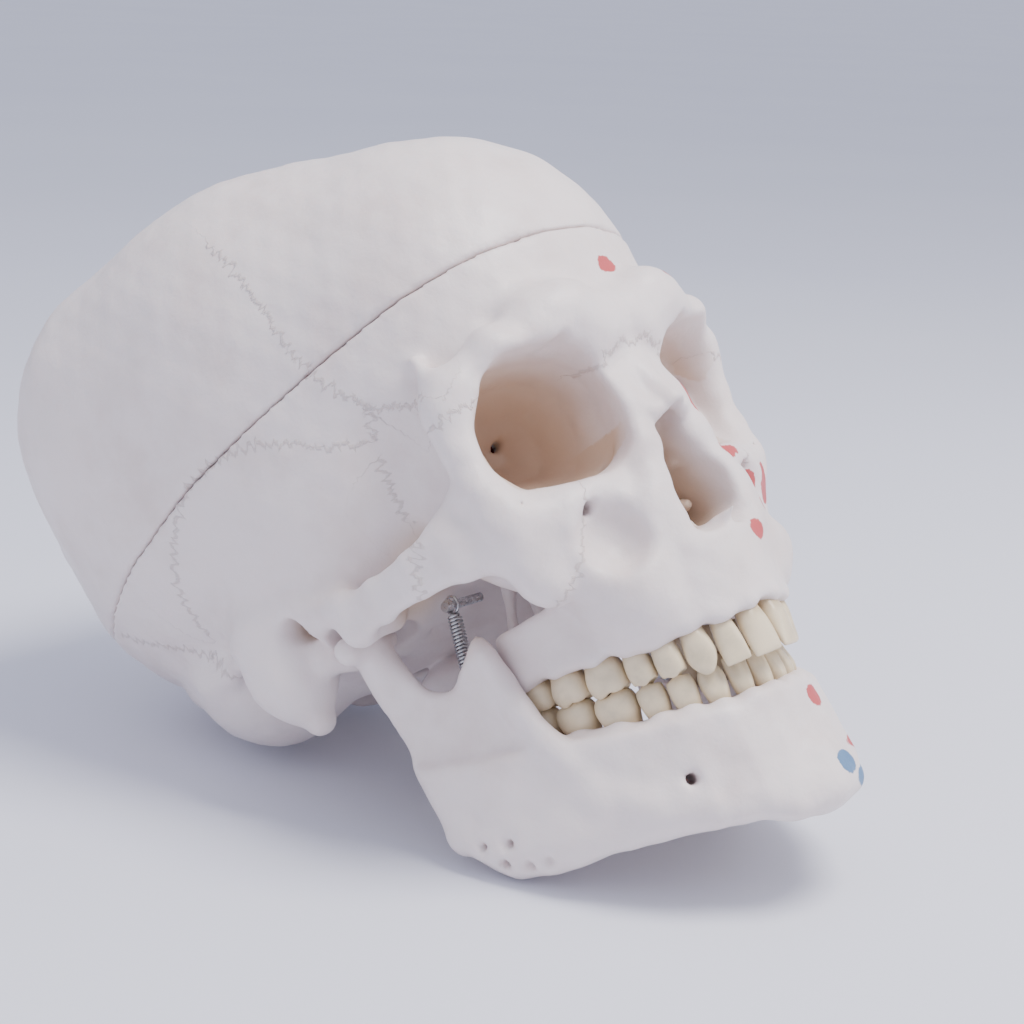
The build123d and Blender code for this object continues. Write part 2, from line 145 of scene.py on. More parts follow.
def ellipsoid(center, radii, power=2.0):
    """Primitives are a distance function and the corners of its box."""
    cx, cy, cz = center
    rx, ry, rz = radii
    scale = 0.5 * (min(radii) + max(radii))

    def shape(x, y, z):
        norm = (np.abs((x - cx) / rx) ** power + np.abs((y - cy) / ry) ** power
                + np.abs((z - cz) / rz) ** power) ** (1 / power)
        return (norm - 1) * scale
    return shape, [c - r for c, r in zip(center, radii)], [c + r for c, r in zip(center, radii)]


def capsule(a, b, ra, rb):
    """A rod from a to b whose radius runs from ra to rb."""
    a = np.array(a, dtype=np.float32)
    b = np.array(b, dtype=np.float32)
    ab = b - a
    length2 = float(ab @ ab)

    def shape(x, y, z):
        dx, dy, dz = x - a[0], y - a[1], z - a[2]
        t = np.clip((dx * ab[0] + dy * ab[1] + dz * ab[2]) / length2, 0, 1)
        dx = dx - t * ab[0]
        dy = dy - t * ab[1]
        dz = dz - t * ab[2]
        return np.sqrt(dx * dx + dy * dy + dz * dz) - (ra + (rb - ra) * t)
    r = max(ra, rb)
    return shape, np.minimum(a, b) - r, np.maximum(a, b) + r


def join(field, primitive, soft):
    field.apply(*primitive, 1, soft)


def cut(field, primitive, soft):
    field.apply(*primitive, -1, soft)


def chain(field, points, radii, soft, act=join):
    """Capsules from point to point."""
    for i in range(len(points) - 1):
        act(field, capsule(points[i], points[i + 1], radii[i], radii[i + 1]), soft)


def lumps(field, rows):
    """Joins ellipsoids: centre, radii, softness."""
    for centre, radii, soft in rows:
        join(field, ellipsoid(centre, radii), soft)


def holes(field, rows):
    """Cuts rods: both ends, the radius at each, softness."""
    for a, b, ra, rb, soft in rows:
        cut(field, capsule(a, b, ra, rb), soft)


def polygon_distance(px, py, outline):
    """Signed distance to a closed outline in a plane, negative inside."""
    best = np.full(np.broadcast(px, py).shape, 1e9)
    inside = np.zeros(best.shape, dtype=bool)
    n = len(outline)
    for i in range(n):
        ax, ay = outline[i]
        bx, by = outline[(i + 1) % n]
        ex, ey = bx - ax, by - ay
        wx, wy = px - ax, py - ay
        t = np.clip((wx * ex + wy * ey) / (ex * ex + ey * ey + 1e-9), 0, 1)
        best = np.minimum(best, (wx - ex * t) ** 2 + (wy - ey * t) ** 2)
        crosses = ((ay > py) != (by > py)) & (px < ex * (py - ay) / (ey + 1e-12) + ax)
        inside ^= crosses
    return np.where(inside, -1, 1) * np.sqrt(best)


def smooth_curve(points, steps, closed):
    """A Catmull-Rom curve through the points."""
    p = np.array(points, dtype=float)
    if closed:
        p = np.concatenate([p[-1:], p, p[:2]])
    else:
        p = np.concatenate([2 * p[:1] - p[1:2], p, 2 * p[-1:] - p[-2:-1]])
    out = []
    for p0, p1, p2, p3 in zip(p, p[1:], p[2:], p[3:]):
        for k in range(steps):
            t = k / steps
            out.append(0.5 * ((2 * p1) + (p2 - p0) * t + (2 * p0 - 5 * p1 + 4 * p2 - p3) * t ** 2
                              + (3 * p1 - p0 - 3 * p2 + p3) * t ** 3))
    if not closed:
        out.append(p[-2])
    return np.array(out)


def curve_distance(px, py, points):
    """Distance to an open curve in a plane, and the place along it from 0 to 1."""
    p = np.array(points, dtype=float)
    seg = np.diff(p, axis=0)
    lengths = np.hypot(seg[:, 0], seg[:, 1])
    starts = np.concatenate([[0], np.cumsum(lengths)])
    best = np.full(np.broadcast(px, py).shape, 1e9)
    along = np.zeros(best.shape)
    for i in range(len(seg)):
        wx, wy = px - p[i, 0], py - p[i, 1]
        t = np.clip((wx * seg[i, 0] + wy * seg[i, 1]) / (lengths[i] ** 2 + 1e-9), 0, 1)
        d = np.hypot(wx - seg[i, 0] * t, wy - seg[i, 1] * t)
        closer = d < best
        best = np.where(closer, d, best)
        along = np.where(closer, starts[i] + t * lengths[i], along)
    return best, along / starts[-1]


def ripple(x, y, z):
    """Gentle unevenness of cast bone, in millimetres."""
    wave = np.sin(x * 0.19 + 1.3) * np.sin(y * 0.16 + 0.4) * np.sin(z * 0.21 + 2.0)
    fine = np.sin(x * 0.47 + y * 0.21) * np.sin(y * 0.43 - z * 0.19 + 1.0) * np.sin(z * 0.41 + x * 0.17)
    return (0.45 * wave + 0.22 * fine).astype(np.float32)


def table_height(y, z):
    """Height above the table."""
    return (z * math.cos(TIP_BACK) - y * math.sin(TIP_BACK) + TABLE_DROP).astype(np.float32)


def cut_height(y):
    return CUT_FRONT[1] + CUT_RISE * (y - CUT_FRONT[0])


def cut_distance(y, z):
    """Distance above the saw cut."""
    return (z - cut_height(y)) / math.hypot(1, CUT_RISE)


# ---- cranium

def braincase(field):
    """The closed vault, before the face joins it."""
    join(field, ellipsoid((0, 20, 56), (70, 86, 68), 2.25), 1)
    join(field, ellipsoid((0, -28, 52), (56, 62, 61), 2.2), 12)
    lumps(field, [
        ((32, 44, 80), (39, 42, 42), 14), ((0, 64, 42), (50, 40, 42), 14), ((24, 6, 79), (42, 50, 45), 14),
        ((38, -6, 26), (25, 36, 36), 12), ((0, 10, 0), (44, 42, 20), 10), ((27, 48, 3.5), (24, 24, 24), 8)])


def brain_hollow(field):
    """The braincase's field turned into its hollow: drawn in by the wall, with raised floors."""
    x, y, z = np.ix_(*field.axes)
    hollow = field.d + WALL
    front_floor = np.where(y < -40, 37 - z, -FAR)
    hollow = np.maximum(hollow, front_floor)
    hollow = np.maximum(hollow, -15.5 - z)
    middle_ridge = 6 - np.sqrt((y + 8) ** 2 / 4 + (z + 12) ** 2)
    return np.maximum(hollow, middle_ridge)


def orbit_shape(x, y, z):
    """The eye socket: a squarish cone that narrows inwards and back."""
    mouth = np.array([31.0, -88.0, 16.0])
    apex = np.array([11.0, -45.0, 20.0])
    axis = apex - mouth
    length = np.linalg.norm(axis)
    axis = axis / length
    side = np.array([-axis[1], axis[0], 0.0])
    side /= np.linalg.norm(side)
    up = np.cross(side, axis)
    dx, dy, dz = x - mouth[0], y - mouth[1], z - mouth[2]
    t = dx * axis[0] + dy * axis[1] + dz * axis[2]
    p = dx * side[0] + dy * side[1] + dz * side[2]
    q = dx * up[0] + dy * up[1] + dz * up[2]
    q = q + np.sign(up[2]) * 0.09 * p
    depths = [-20, 0, 10, 18, 30, 42, length + 2]
    scale = np.interp(t, depths, [1.12, 1.02, 0.98, 0.98, 0.82, 0.5, 0.14])
    norm = (np.abs(p / 18.0) ** 2.7 + np.abs(q / 17.2) ** 2.7) ** (1 / 2.7)
    d = (norm - scale) * 17
    return np.maximum(d, np.maximum(-t - 16, t - length - 2)).astype(np.float32)


def face(field):
    """Brow, eye rims, cheeks, nose and upper jaw."""
    chain(field, [(0, -87, 36), (10, -88, 33), (24, -87.5, 36.5), (38, -82.5, 35.5), (48, -74, 30),
                  (51, -71, 24)], [7.5, 5.5, 5, 4.8, 4.6, 4.2], 7)
    chain(field, [(6, -90, 38), (16, -90.5, 40.5), (27, -87, 43)], [4.5, 4.5, 3.5], 8)
    chain(field, [(51, -71, 26), (51.5, -70.5, 16), (50.5, -70.5, 6), (47, -71.5, -3)],
          [4.4, 4.0, 4.6, 6.5], 5)
    chain(field, [(47, -71.5, -4), (36, -76.5, -6), (24, -80.5, -4.5), (14, -85, 3)],
          [6.5, 5.2, 4.6, 3.6], 5)
    chain(field, [(12, -84.5, 30), (11, -85, 16), (12, -86, 2), (15.5, -87.5, -12), (13, -89.5, -24)],
          [4.5, 3.8, 4.4, 4.6, 4.6], 5)
    chain(field, [(0, -83.5, 30), (0, -88, 20), (0, -95.5, 10)], [5.8, 4.6, 3.8], 4)
    chain(field, [(5, -84.5, 27), (6, -87.5, 18), (5.5, -93.0, 9)], [4.0, 3.4, 2.6], 3)
    chain(field, [(8, -85, 22), (9, -88, 12), (10.5, -89, 2), (12.8, -89.2, -8), (13.5, -89, -17)],
          [3.8, 3.8, 3.8, 3.8, 4.2], 4)
    lumps(field, [
        ((24, -70, -12), (19, 17, 15), 8), ((22, -76, -28), (14, 15, 17), 8),
        ((43, -69, -11), (9, 7.5, 12), 6), ((41, -70, -20), (5, 5, 6), 5), ((0, -62, 10), (14, 22, 26), 6),
        ((0, -86, -33), (16, 8.5, 13), 5), ((28, -56, 8), (22, 16, 26), 8)])


def cheek_arch(field):
    """Zygomatic arch: rods one above the other make its tall, thin section."""
    for rise in (-4.6, -1.0, 2.2):
        chain(field, [(47, -68, -5 + rise), (54, -59, -3.5 + rise), (58, -47, -3.5 + rise),
                      (59, -33, -4 + rise), (58.2, -20, -4.5 + rise), (54, -8, -3.5 + rise)],
              [5.5, 3.6, 2.4, 2.1, 2.4, 3.2], 3)
    join(field, capsule((52, -64, 6), (56.5, -54, 0), 3.2, 2.4), 5)
    chain(field, [(58, -20, -1), (56, -4, 3), (54, 10, 6), (54, 24, 10)], [2.0, 3.2, 3.6, 2.0], 7)
    join(field, capsule((46, -21, -8), (57, -21, -8.5), 3.6, 3.4), 5)


def gum_wall(arch, gum, top, thickness, how_far):
    """Bone that holds the roots: a wall along the dental arch from the gum line to a height."""
    front, half_width, depth = arch
    angles = np.linspace(0, 0.5 * math.pi * how_far, 28)
    curve = np.stack([half_width * np.sin(angles), front + depth * (1 - np.cos(angles))], -1)

    def shape(x, y, z):
        d, along = curve_distance(x[..., 0], y[..., 0], curve)
        half = np.interp(along, [0, 0.3, 0.6, 1], thickness)
        wall = (d - half)[..., None].astype(np.float32)
        line = gum[1] + gum[2] * (y - gum[0])
        scallop = 0.9 * np.cos(along * how_far * 0.5 * math.pi * 14.5)[..., None]
        if top > gum[1]:
            ends = np.maximum(line + 0.6 + scallop * 0.6 - z, z - top)
        else:
            ends = np.maximum(z - line + 0.6 + scallop * 0.6, top - z)
        return soft_max(wall, ends.astype(np.float32), 2.2)
    low = [0, front - 8, min(top, gum[1]) - 8]
    high = [half_width + 10, front + depth + 8, max(top, gum[1]) + 14]
    return shape, low, high


def tooth_stations(arch, gum, sizes):
    """Middle of each left tooth on the gum line, with its outward and along-arch directions."""
    front, half_width, depth = arch
    angle = np.linspace(0, math.pi / 2, 4001)
    x = half_width * np.sin(angle)
    y = front + depth * (1 - np.cos(angle))
    run = np.concatenate([[0], np.cumsum(np.hypot(np.diff(x), np.diff(y)))])
    stations = []
    start = TOOTH_GAP / 2
    for width, _ in sizes:
        at = start + width / 2
        start += width + TOOTH_GAP
        px, py = np.interp(at, run, x), np.interp(at, run, y)
        qx, qy = np.interp(at + 0.5, run, x), np.interp(at + 0.5, run, y)
        along = np.array([qx - px, qy - py, 0.0])
        along /= np.linalg.norm(along)
        outward = np.array([along[1], -along[0], 0.0])
        stations.append((np.array([px, py, gum[1] + gum[2] * (py - gum[0])]), outward, along))
    return stations


def root_ridges(field, stations, sizes, direction, lengths):
    """The swellings that roots raise on the outer face of the bone."""
    for (spot, outward, _), (_, thickness), length in zip(stations, sizes, lengths):
        foot = spot + outward * (thickness * 0.30) + np.array([0, 0, direction * 1.5])
        tip = foot - outward * (1.5 + thickness * 0.08) + np.array([0, 0, direction * length])
        join(field, capsule(foot, tip, 2.4, 1.2), 2.5)


def nose_opening(x, y, z):
    """Pear-shaped opening, as deep as the back of the palate."""
    outline = smooth_curve([(0, 9), (3.4, 6), (7.5, -3), (11.2, -11), (11.4, -17), (7, -20.8), (0, -20),
                            (-7, -20.8), (-11.4, -17), (-11.2, -11), (-7.5, -3), (-3.4, 6)], 5, closed=True)
    d = polygon_distance(x[:, 0], z[0], outline)[:, None, :]
    return np.maximum(d, np.maximum(-112 - y, y + 47)).astype(np.float32)


def temple_cuts(field):
    """The hollow behind the eye rim and the way down inside the cheek arch."""
    cut(field, ellipsoid((60, -52, 12), (13, 13, 26)), 7)
    cut(field, ellipsoid((50, -44, -14), (8.5, 20, 22)), 3)


def skull_cuts(field):
    """Every opening in the outside of the cranium."""
    field.apply(orbit_shape, (6, -112, -6), (54, -42, 38), -1, 1.6)
    cut(field, capsule((10, -49, 23), (7, -38, 24), 1.5, 1.4), 1)
    chain(field, [(20, -54, 23), (15, -47, 18), (15, -49, 13)], [1.0, 1.5, 1.0], 1, cut)
    chain(field, [(16, -52, 6), (26, -62, 3), (35, -70, 2)], [1.4, 1.9, 1.2], 1, cut)
    cut(field, capsule((11.5, -80, 10), (11, -76, 0), 2.3, 1.8), 1)
    field.apply(nose_opening, (0, -112, -24), (13, -46, 12), -1, 1.2)
    cut(field, capsule((5, -60, -20), (5, -34, -20), 4.4, 5.2), 1.5)
    cut(field, ellipsoid((31, -86, -17), (9, 7, 9)), 4)
    holes(field, [
        ((24.5, -95, 31.5), (23, -82, 31.5), 2.3, 1.6, 1.2), ((33, -90, -10), (30, -76, -6), 2.1, 1.6, 0.8),
        ((48, -78, -2), (46, -68, -3), 0.9, 0.8, 0.5), ((64, 0, -1), (44, -1, 1), 4.2, 3.4, 1.2),
        ((38, *HINGE), (66, *HINGE), 6.4, 6.4, 1.0), ((50, 27, -4), (44, 30, -16), 1.2, 1.2, 1.5),
        ((30, 2, -17), (28, 0, -26), 3.2, 3.6, 1.5), ((26, -14, -14), (24, -16, -24), 2.3, 2.6, 1.2)])

    def foramen_magnum(x, y, z):
        ring = np.sqrt((x / 15.0) ** 2 + ((y - 14) / 18.0) ** 2) - 1
        return np.maximum(ring * 15, z + 4).astype(np.float32)
    field.apply(foramen_magnum, (0, -6, -40), (17, 34, -3), -1, 1.5)

    def palate(x, y, z):
        front, half_width, depth = UPPER_ARCH
        ring = np.sqrt((x / (half_width - 7.5)) ** 2 + ((y - front - depth) / (depth - 8)) ** 2) - 1
        dome = z + 32 + 3.5 * ((x / 22) ** 2)
        return soft_max((ring * 22).astype(np.float32), dome.astype(np.float32), 7)
    field.apply(palate, (0, -86, -60), (26, -30, -30), -1, 2)


def inside_nose(field):
    """Septum and the curled shelves beside it."""
    def septum(x, y, z):
        plate = np.maximum(x - 0.9, np.maximum(-86 + 0.25 * (z + 20) - y, y + 46))
        return np.maximum(plate, np.maximum(-22 - z, z - 10)).astype(np.float32)
    field.apply(septum, (0, -90, -24), (2, -44, 12), 1, 0.8)
    chain(field, [(8.6, -79, -13), (7.6, -72, -12), (7.6, -56, -11)], [1.8, 2.6, 2.4], 1.5)
    chain(field, [(7.5, -82, -2), (6.2, -72, 0), (6.0, -56, 0)], [1.0, 2.0, 2.0], 1.5)


def underside(field):
    """Mastoids, condyles, pterygoid plates and the ridges where neck muscles hold."""
    chain(field, [(52, 14, 2), (53, 14, -9), (52, 12.5, -22)], [13.5, 10.5, 4.2], 6)
    join(field, ellipsoid((13.5, 2, -24), (5.5, 11, 5)), 4)
    chain(field, [(0, -28, -12), (0, -6, -19)], [9, 7], 6)
    chain(field, [(14.5, -42, -6), (15.5, -40, -34)], [3.4, 2.0], 3)
    chain(field, [(18, -38, -8), (21, -31, -30)], [2.4, 1.5], 3)
    chain(field, [(35, 4, -14), (35.5, 1, -24), (36.5, -3, -34)], [3.6, 2.0, 1.0], 2.5)
    chain(field, [(0, 87, 8), (16, 84, 8), (34, 73, 5), (48, 50, 3), (54, 30, 1)],
          [3.4, 2.2, 2.0, 1.8, 1.8], 7)
    chain(field, [(0, 70, -8), (14, 66, -11), (26, 58, -15)], [1.5, 1.2, 1.0], 6)
    chain(field, [(50.5, -71, 30), (48.5, -67, 42)], [2.6, 1.6], 5)
    chain(field, [(50, 0, -9), (44, -4, -12)], [5, 4], 4)


def cranium_fields():
    """Distance fields of the skull base and of the cap."""
    outside = Field((0, -108, -52), (76, 102, 126))
    braincase(outside)
    hollow = brain_hollow(outside)
    underside(outside)
    face(outside)
    stations = tooth_stations(UPPER_ARCH, UPPER_GUM, UPPER_SIZES)
    join(outside, gum_wall(UPPER_ARCH, UPPER_GUM, -24, [4.4, 4.6, 5.6, 5.4], 0.93), 3)
    root_ridges(outside, stations, UPPER_SIZES, 1, [12, 11, 16, 11, 10, 8, 7, 5])
    join(outside, capsule((0, -92, -22.5), (0, -98.5, -20.5), 2.6, 0.9), 2.5)
    temple_cuts(outside)
    cheek_arch(outside)
    skull_cuts(outside)
    inside_nose(outside)
    x, y, z = np.ix_(*outside.axes)
    bone = outside.d + ripple(x, y, z)
    bone = soft_max(bone, -hollow.astype(np.float32), 0.8)
    bone = np.maximum(bone, 0.15 - table_height(y, z))
    above = cut_distance(y, z).astype(np.float32)
    base = soft_max(bone, above, 0.5)
    cap = soft_max(bone, CUT_GAP - above, 0.5)
    return outside, base, cap


# ---- mandible

def mandible_field():
    """Distance field of the lower jaw: the horseshoe body, then the rami and the heads on the hinge line."""
    field = Field((0, -100, -102), (66, 8, 0))
    body_line = [(0, -85.5), (8, -84.8), (16, -81.5), (24, -74), (30, -64), (35, -53), (39.5, -42),
                 (43, -30), (46, -14)]

    def body(x, y, z):
        d, along = curve_distance(x[..., 0], y[..., 0], body_line)
        d, along = d[..., None], along[..., None]
        bottom = np.interp(along, [0, 0.1, 0.22, 0.4, 0.6, 0.78, 0.9, 1],
                           [-93.5, -94, -92, -88.5, -85, -83, -80, -70])
        top = LOWER_GUM[1] + LOWER_GUM[2] * (y - LOWER_GUM[0])
        level = np.clip((z - bottom) / np.maximum(top - bottom, 1), 0, 1)
        waist = np.interp(level, [0, 0.22, 0.5, 0.8, 1], [5.0, 5.8, 4.8, 4.6, 4.4])
        shape = soft_max((d - waist).astype(np.float32), (bottom - z).astype(np.float32), 5)
        lid = (z - top + 0.8).astype(np.float32)
        return soft_max(shape, lid, 2.0)
    field.apply(body, (0, -98, -100), (56, -4, -42), 1, 2)

    outline = smooth_curve([(-7.5, -14), (-6, -26), (-8.5, -46), (-12, -64), (-19.5, -78), (-30, -82),
                            (-44, -83), (-54, -74), (-50, -60), (-45.5, -47), (-43.5, -34), (-42, -24.5),
                            (-39.5, -22), (-35, -25.5), (-28, -30.5), (-21, -28.5), (-16.5, -20),
                            (-14.5, -12)], 6, closed=True)

    def ramus(x, y, z):
        flat = polygon_distance(y[0], z[0], outline)[None]
        middle = 38.2 + (y + 48) * 0.19 + (z + 50) * 0.035
        half = np.interp(z, [-84, -60, -30, -12], [3.0, 2.7, 2.2, 2.6])
        return soft_max(flat.astype(np.float32), (np.abs(x - middle) - half).astype(np.float32), 3.0)
    field.apply(ramus, (30, -58, -86), (56, -2, -8), 1, 4)

    chain(field, [(40, -50, -60), (41.2, -44, -44), (42.3, -41, -28)], [3.2, 2.5, 1.8], 4)
    chain(field, [(46.5, -11, -26), (47.5, -11, -17)], [3.0, 3.4], 4)
    chain(field, [(42, *HINGE), (49, HINGE[0], HINGE[1] + 0.3), (55, *HINGE)], [3.6, 4.6, 3.7], 2.5)
    chain(field, [(0, -87, -84), (0, -87, -90)], [4.5, 5.0], 6)
    chain(field, [(12, -85, -92), (0, -86, -92)], [3.5, 4], 6)
    chain(field, [(38, -52, -70), (34, -62, -78), (27, -73, -84)], [2.2, 2.0, 1.8], 6)
    stations = tooth_stations(LOWER_ARCH, LOWER_GUM, LOWER_SIZES)
    join(field, gum_wall(LOWER_ARCH, LOWER_GUM, -78, [3.6, 4.2, 5.4, 5.4], 0.93), 3)
    root_ridges(field, stations, LOWER_SIZES, -1, [10, 10, 13, 8, 7, 5, 4, 3])
    cut(field, capsule((31, -77, -77), (24, -68, -76), 2.0, 1.4), 0.8)
    cut(field, ellipsoid((0, -72, -92), (9, 6, 7)), 4)
    cut(field, capsule((38, -22, -44), (42, -25, -48), 1.6, 1.6), 1)
    for y, z in ((-24, -76), (-30, -79), (-21, -70), (-36, -80), (-28, -72)):
        cut(field, capsule((52, y, z), (44.6, y, z), 1.3, 0.9), 1.8)
    x, y, z = np.ix_(*field.axes)
    bone = np.maximum(field.d + ripple(x, y, z), 0.1 - table_height(y, z))
    return field, bone


# ---- meshes

def new_mesh(name, points, faces):
    """A mesh from points in metres."""
    mesh = bpy.data.meshes.new(name)
    mesh.from_pydata(np.asarray(points).tolist(), [], faces)
    return mesh


def new_piece(mesh):
    """An object, named like its mesh, that shows it smooth-shaded."""
    mesh.polygons.foreach_set("use_smooth", [True] * len(mesh.polygons))
    piece = bpy.data.objects.new(mesh.name, mesh)
    bpy.context.scene.collection.objects.link(piece)
    return piece


def ring_faces(rings, around, first_end, last_end):
    """Quads between rings of points that follow one another, and fans that close both ends."""
    faces = []
    for r in range(rings - 1):
        for i in range(around):
            j = (i + 1) % around
            faces.append((r * around + i, r * around + j, (r + 1) * around + j, (r + 1) * around + i))
    for i in range(around):
        j = (i + 1) % around
        faces.append(((rings - 1) * around + i, (rings - 1) * around + j, last_end))
        faces.append((j, i, first_end))
    return faces


def mesh_from_field(name, field, values):
    """Mirrors half a field, meshes it and stands it on the table."""
    full = np.concatenate([values[:0:-1], values], axis=0).astype(np.float32)
    full = np.clip(full, -BAND, BAND)
    full[0], full[-1] = BAND, BAND
    full[:, 0], full[:, -1] = BAND, BAND
    full[:, :, 0], full[:, :, -1] = BAND, BAND
    grid = openvdb.FloatGrid(BAND)
    grid.copyFromArray(np.ascontiguousarray(full), tolerance=0.0)
    points, quads = grid.convertToQuads(0.0)
    points = points.astype(float) * CELL
    points[:, 0] -= (values.shape[0] - 1) * CELL
    points[:, 1] += field.low[1]
    points[:, 2] += field.low[2]
    mesh = new_mesh(name, to_table(points), quads[:, ::-1].tolist())
    mesh.validate()
    keep_largest(mesh)
    return new_piece(mesh)


def keep_largest(mesh):
    """Drops loose crumbs: every island but the largest."""
    work = bmesh.new()
    work.from_mesh(mesh)
    work.verts.ensure_lookup_table()
    seen = np.zeros(len(work.verts), dtype=bool)
    islands = []
    for seed in work.verts:
        if seen[seed.index]:
            continue
        stack = [seed]
        seen[seed.index] = True
        island = []
        while stack:
            vert = stack.pop()
            island.append(vert)
            for edge in vert.link_edges:
                other = edge.other_vert(vert)
                if not seen[other.index]:
                    seen[other.index] = True
                    stack.append(other)
        islands.append(island)
    islands.sort(key=len)
    doomed = [vert for island in islands[:-1] for vert in island]
    if doomed:
        bmesh.ops.delete(work, geom=doomed, context="VERTS")
    work.to_mesh(mesh)
    work.free()


# ---- teeth

# Crowns: shape in shares, places along the row, and lengths past the bite plane in millimetres
TONGUE_SIDE_TAPER = 0.12
TOP_SHARES = (0.86, 0.7, 0.54, 0.38, 0.2)
CROWN_SPREAD = 1.03
PAST_BITE = 1.2
CANINE_LONGER = 0.5
CHEEK_TEETH_SHIFT = 0.1
FIRST_MOLAR = 5


def ring_tooth(levels, top, around=40):
    """Points and faces of a tooth from cross-sections.

    levels are (height, half width, half thickness, shift, squareness), root tip first, and top gives the
    relief of the crown.
    """
    angles = np.linspace(0, 2 * math.pi, around, endpoint=False)
    points = []
    for height, half_width, half_thickness, shift, square in levels:
        c, s = np.cos(angles), np.sin(angles)
        u = half_width * np.sign(c) * np.abs(c) ** (2 / square)
        v = half_thickness * np.sign(s) * np.abs(s) ** (2 / square)
        u = u * (1 - TONGUE_SIDE_TAPER * (s < 0) * np.abs(s))
        points.append(np.stack([u, v + shift, np.full(around, height)], -1))
    last = points[-1]
    middle = last.mean(axis=0)
    for share in TOP_SHARES:
        inner = middle + (last - middle) * share
        inner[:, 2] = [top(p[0] - middle[0], p[1] - middle[1], share) + middle[2] for p in inner]
        points.append(inner)
    rings = len(points)
    apex = middle + np.array([0, 0, top(0, 0, 0)])
    cloud = np.concatenate(points + [apex[None], points[0].mean(axis=0)[None]])
    return cloud, ring_faces(rings, around, rings * around + 1, rings * around)


def incisor_levels(width, thickness, height, edge_shift, pointed):
    """Cross-sections of an incisor, or when pointed of a canine."""
    w, t = width / 2, thickness / 2
    return [(-9.0, w * 0.25, t * 0.3, 0, 2),
            (-4, w * 0.62, t * 0.72, 0, 2),
            (-0.6, w * 0.74, t * 0.84, 0, 2.1),
            (height * 0.08, w * 0.80, t * 0.93, edge_shift * 0.02, 2.2),
            (height * 0.22, w * 0.88, t * 0.96, edge_shift * 0.15, 2.3),
            (height * 0.42, w * 0.97, t * 0.80, edge_shift * 0.4, 2.5),
            (height * 0.62, w, t * 0.58, edge_shift * 0.68, 2.7),
            (height * 0.80, w * (0.78 if pointed else 1), t * (0.46 if pointed else 0.40),
             edge_shift * 0.88, 2.8),
            (height * 0.93, w * (0.5 if pointed else 0.98), t * 0.30, edge_shift * 0.98, 2.8),
            (height * 0.985, w * (0.315 if pointed else 0.9312), t * 0.2, edge_shift, 2.6)]


def molar_levels(width, thickness, height):
    """Cross-sections of a premolar or molar."""
    w, t = width / 2, thickness / 2
    return [(-8.5, w * 0.3, t * 0.3, 0, 2),
            (-4, w * 0.66, t * 0.66, 0, 2.1),
            (-0.6, w * 0.82, t * 0.82, 0, 2.3),
            (height * 0.1, w * 0.86, t * 0.88, 0, 2.5),
            (height * 0.28, w * 0.95, t * 0.97, 0, 2.7),
            (height * 0.52, w, t, 0, 2.9),
            (height * 0.74, w * 0.985, t * 0.93, 0, 2.8),
            (height * 0.92, w * 0.90, t * 0.80, 0, 2.6)]


def edge_top(rise):
    """Relief of a plain edge that swells a little in the middle."""
    return lambda u, v, share: rise * (1 - share)


def cusp_top(width, thickness, height, cusps):
    """Relief of rounded cusps, at these shares of width and thickness, parted by fissures."""
    def top(u, v, share):
        near = [math.hypot(u - cu * width, v - cv * thickness) for cu, cv in cusps]
        bump = max(math.exp(-(d / (width * 0.19)) ** 2) for d in near)
        return height * 0.10 * min(1.3 * bump, 1.0) - height * 0.03 * (1 - share)
    return top


MOLAR_CUSPS = [(-0.24, 0.26), (0.24, 0.26), (-0.24, -0.24), (0.24, -0.24)]
PREMOLAR_CUSPS = [(0.0, 0.27), (0.0, -0.24)]


def bite_height(spot, upper, number):
    """How far the tooth reaches from the gum line, straight up or down."""
    bite = BITE[1] + BITE[2] * (spot[1] - BITE[0])
    front = number < FRONT_TEETH
    if upper:
        longer = CANINE_LONGER if number == CANINE else 0
        return spot[2] - bite + (PAST_BITE if front else CHEEK_TEETH_SHIFT) + longer
    return bite - spot[2] + (PAST_BITE if front else -CHEEK_TEETH_SHIFT)


def tooth_piece(name, upper, number, side, station):
    """One tooth; side is 1 on the left and -1 on the right."""
    spot, outward, along = station
    width, thickness = (UPPER_SIZES if upper else LOWER_SIZES)[number]
    height = bite_height(spot, upper, number)
    wide = width * CROWN_SPREAD
    if number < FRONT_TEETH:
        pointed = number == CANINE
        edge_shift = thickness * (0.12 if upper else -0.05)
        levels = incisor_levels(wide, thickness, height, edge_shift, pointed)
        cloud, faces = ring_tooth(levels, edge_top(height * (0.03 if pointed else 0.012)))
        lean = 0.06 if upper else 0.12
    else:
        cusps = PREMOLAR_CUSPS if number < FIRST_MOLAR else MOLAR_CUSPS
        levels = molar_levels(wide, thickness, height)
        cloud, faces = ring_tooth(levels, cusp_top(width, thickness, height, cusps))
        lean = 0.02
    axis = np.array([0, 0, -1.0 if upper else 1.0]) + outward * lean
    axis /= np.linalg.norm(axis)
    points = spot + cloud[:, :1] * along + cloud[:, 1:2] * outward + cloud[:, 2:] * axis
    points[:, 0] *= side
    if (side < 0) != upper:
        faces = [face[::-1] for face in faces]
    mesh = new_mesh(name, to_table(points), faces)
    mesh.validate()
    put_attribute(mesh, "crown", np.clip(cloud[:, 2] / height, -1, 1))
    piece = new_piece(mesh)
    rounded = piece.modifiers.new("smooth", "SUBSURF")
    rounded.levels = 1
    rounded.render_levels = 1
    return piece


# ---- springs

